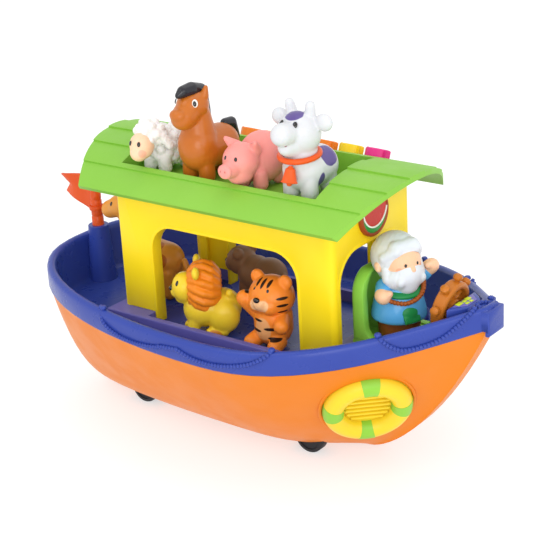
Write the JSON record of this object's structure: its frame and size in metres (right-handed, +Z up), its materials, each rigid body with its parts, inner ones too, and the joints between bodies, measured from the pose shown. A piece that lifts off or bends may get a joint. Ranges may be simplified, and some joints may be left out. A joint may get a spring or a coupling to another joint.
{
  "type": "toy ark",
  "caption": "Toy ark on hidden wheels: orange boat hull, blue deck, yellow cabin, green barrel roof with fish keys, a helm, a life ring button and loose animal figures.",
  "frame": {"origin": "floor point under the middle of the overall box, with the wheels standing on z = 0", "axes": "+X points to the bow, +Y to the side with the fish keys, +Z up"},
  "size_m": [0.3594, 0.1956, 0.243],
  "materials": {
    "hull_orange": "satin",
    "deck_blue": "satin",
    "cabin_yellow": "satin",
    "roof_green": "satin",
    "flag_red": "satin",
    "seat_green": "satin",
    "lamp_amber": "satin",
    "lens_red": "clear",
    "lens_green": "clear",
    "board_green": "matt",
    "key_magenta": "satin",
    "key_yellow": "satin",
    "key_orange": "satin",
    "helm_brown": "satin",
    "ring_yellow": "satin",
    "band_green": "satin",
    "steel": "bright",
    "wheel_black": "matt",
    "grey_plastic": "matt",
    "sheep_white": "satin",
    "horse_brown": "satin",
    "pig_pink": "satin",
    "cow_white": "satin",
    "lion_yellow": "satin",
    "tiger_orange": "satin",
    "bear_brown": "satin",
    "giraffe_tan": "satin",
    "skipper_blue": "satin"
  },
  "bodies": {
    "ark": {"hull_shell": "hull_orange", "deck_tray": "deck_blue", "cabin": "cabin_yellow", "roof": "roof_green", "mast_flag": "flag_red", "seat": "seat_green", "lamp_bezel": "lamp_amber", "lamp_lens_red": "lens_red", "lamp_lens_green": "lens_green", "lamp_board": "board_green", "key_board": "board_green", "key_cover": "roof_green", "key_cover_screws": "steel", "ring_spring": "steel", "ring_switch": "grey_plastic", "axle_brackets": "hull_orange", "battery_box": "grey_plastic", "battery_cells": "steel", "battery_contacts": "steel", "battery_door": "hull_orange", "battery_door_screw": "steel", "circuit_board": "board_green", "speaker": "grey_plastic", "hull_screws": "steel", "cabin_screws": "steel"},
    "front_wheels": {"front_axle": "steel", "front_wheel_near": "wheel_black", "front_wheel_far": "wheel_black"},
    "rear_wheels": {"rear_axle": "steel", "rear_wheel_near": "wheel_black", "rear_wheel_far": "wheel_black"},
    "helm": {"helm_wheel": "helm_brown", "helm_spindle": "steel", "helm_cap": "helm_brown"},
    "life_ring_button": {"life_ring": "ring_yellow", "ring_bands": "band_green"},
    "key_1": {"fish_key_1": "key_magenta"},
    "key_2": {"fish_key_2": "key_yellow"},
    "key_3": {"fish_key_3": "key_orange"},
    "key_4": {"fish_key_4": "key_magenta"},
    "key_5": {"fish_key_5": "key_yellow"},
    "key_6": {"fish_key_6": "key_orange"},
    "sheep_figure": {"sheep": "sheep_white"},
    "horse_figure": {"horse": "horse_brown"},
    "pig_figure": {"pig": "pig_pink"},
    "cow_figure": {"cow": "cow_white"},
    "lion_figure": {"lion": "lion_yellow"},
    "tiger_figure": {"tiger": "tiger_orange"},
    "bear_figure": {"bear": "bear_brown"},
    "giraffe_figure": {"giraffe": "giraffe_tan"},
    "skipper_figure": {"skipper": "skipper_blue"}
  },
  "joints": [
    {"name": "front_axle_spin", "type": "hinge", "parent": "ark", "child": "front_wheels", "pos_m": [0.0568, 0, 0.011], "axis": [0, 1, 0], "continuous": true},
    {"name": "rear_axle_spin", "type": "hinge", "parent": "ark", "child": "rear_wheels", "pos_m": [-0.0877, 0, 0.011], "axis": [0, 1, 0], "continuous": true},
    {"name": "helm_turn", "type": "hinge", "parent": "ark", "child": "helm", "pos_m": [0.1472, 0, 0.113], "axis": [-0.9781, 0, 0.2079], "continuous": true},
    {"name": "life_ring_press", "type": "slide", "parent": "ark", "child": "life_ring_button", "axis": [-0.6189, 0.6409, 0.454], "range_m": [0, 0.003], "stiffness_N_per_m": 600, "springref_m": -0.002, "deforming": ["ring_spring"]},
    {"name": "fish_key_1_press", "type": "slide", "parent": "ark", "child": "key_1", "axis": [0, -0.3991, -0.9169], "range_m": [0, 0.0025], "stiffness_N_per_m": 400, "springref_m": -0.001},
    {"name": "fish_key_2_press", "type": "slide", "parent": "ark", "child": "key_2", "axis": [0, -0.3991, -0.9169], "range_m": [0, 0.0025], "stiffness_N_per_m": 400, "springref_m": -0.001},
    {"name": "fish_key_3_press", "type": "slide", "parent": "ark", "child": "key_3", "axis": [0, -0.3991, -0.9169], "range_m": [0, 0.0025], "stiffness_N_per_m": 400, "springref_m": -0.001},
    {"name": "fish_key_4_press", "type": "slide", "parent": "ark", "child": "key_4", "axis": [0, -0.3991, -0.9169], "range_m": [0, 0.0025], "stiffness_N_per_m": 400, "springref_m": -0.001},
    {"name": "fish_key_5_press", "type": "slide", "parent": "ark", "child": "key_5", "axis": [0, -0.3991, -0.9169], "range_m": [0, 0.0025], "stiffness_N_per_m": 400, "springref_m": -0.001},
    {"name": "fish_key_6_press", "type": "slide", "parent": "ark", "child": "key_6", "axis": [0, -0.3991, -0.9169], "range_m": [0, 0.0025], "stiffness_N_per_m": 400, "springref_m": -0.001},
    {"name": "sheep_lift", "type": "slide", "parent": "ark", "child": "sheep_figure", "axis": [0, 0, 1], "range_m": [0, 0.06]},
    {"name": "horse_lift", "type": "slide", "parent": "ark", "child": "horse_figure", "axis": [0, 0, 1], "range_m": [0, 0.06]},
    {"name": "pig_lift", "type": "slide", "parent": "ark", "child": "pig_figure", "axis": [0, 0, 1], "range_m": [0, 0.06]},
    {"name": "cow_lift", "type": "slide", "parent": "ark", "child": "cow_figure", "axis": [0, 0, 1], "range_m": [0, 0.06]},
    {"name": "lion_lift", "type": "slide", "parent": "ark", "child": "lion_figure", "axis": [0, 0, 1], "range_m": [0, 0.018]},
    {"name": "tiger_lift", "type": "slide", "parent": "ark", "child": "tiger_figure", "axis": [0, 0, 1], "range_m": [0, 0.018]},
    {"name": "bear_lift", "type": "slide", "parent": "ark", "child": "bear_figure", "axis": [0, 0, 1], "range_m": [0, 0.018]},
    {"name": "giraffe_lift", "type": "slide", "parent": "ark", "child": "giraffe_figure", "axis": [0, 0, 1], "range_m": [0, 0.015]},
    {"name": "skipper_lift", "type": "slide", "parent": "ark", "child": "skipper_figure", "axis": [0.2873, 0, 0.9578], "range_m": [0, 0.025]}
  ]
}
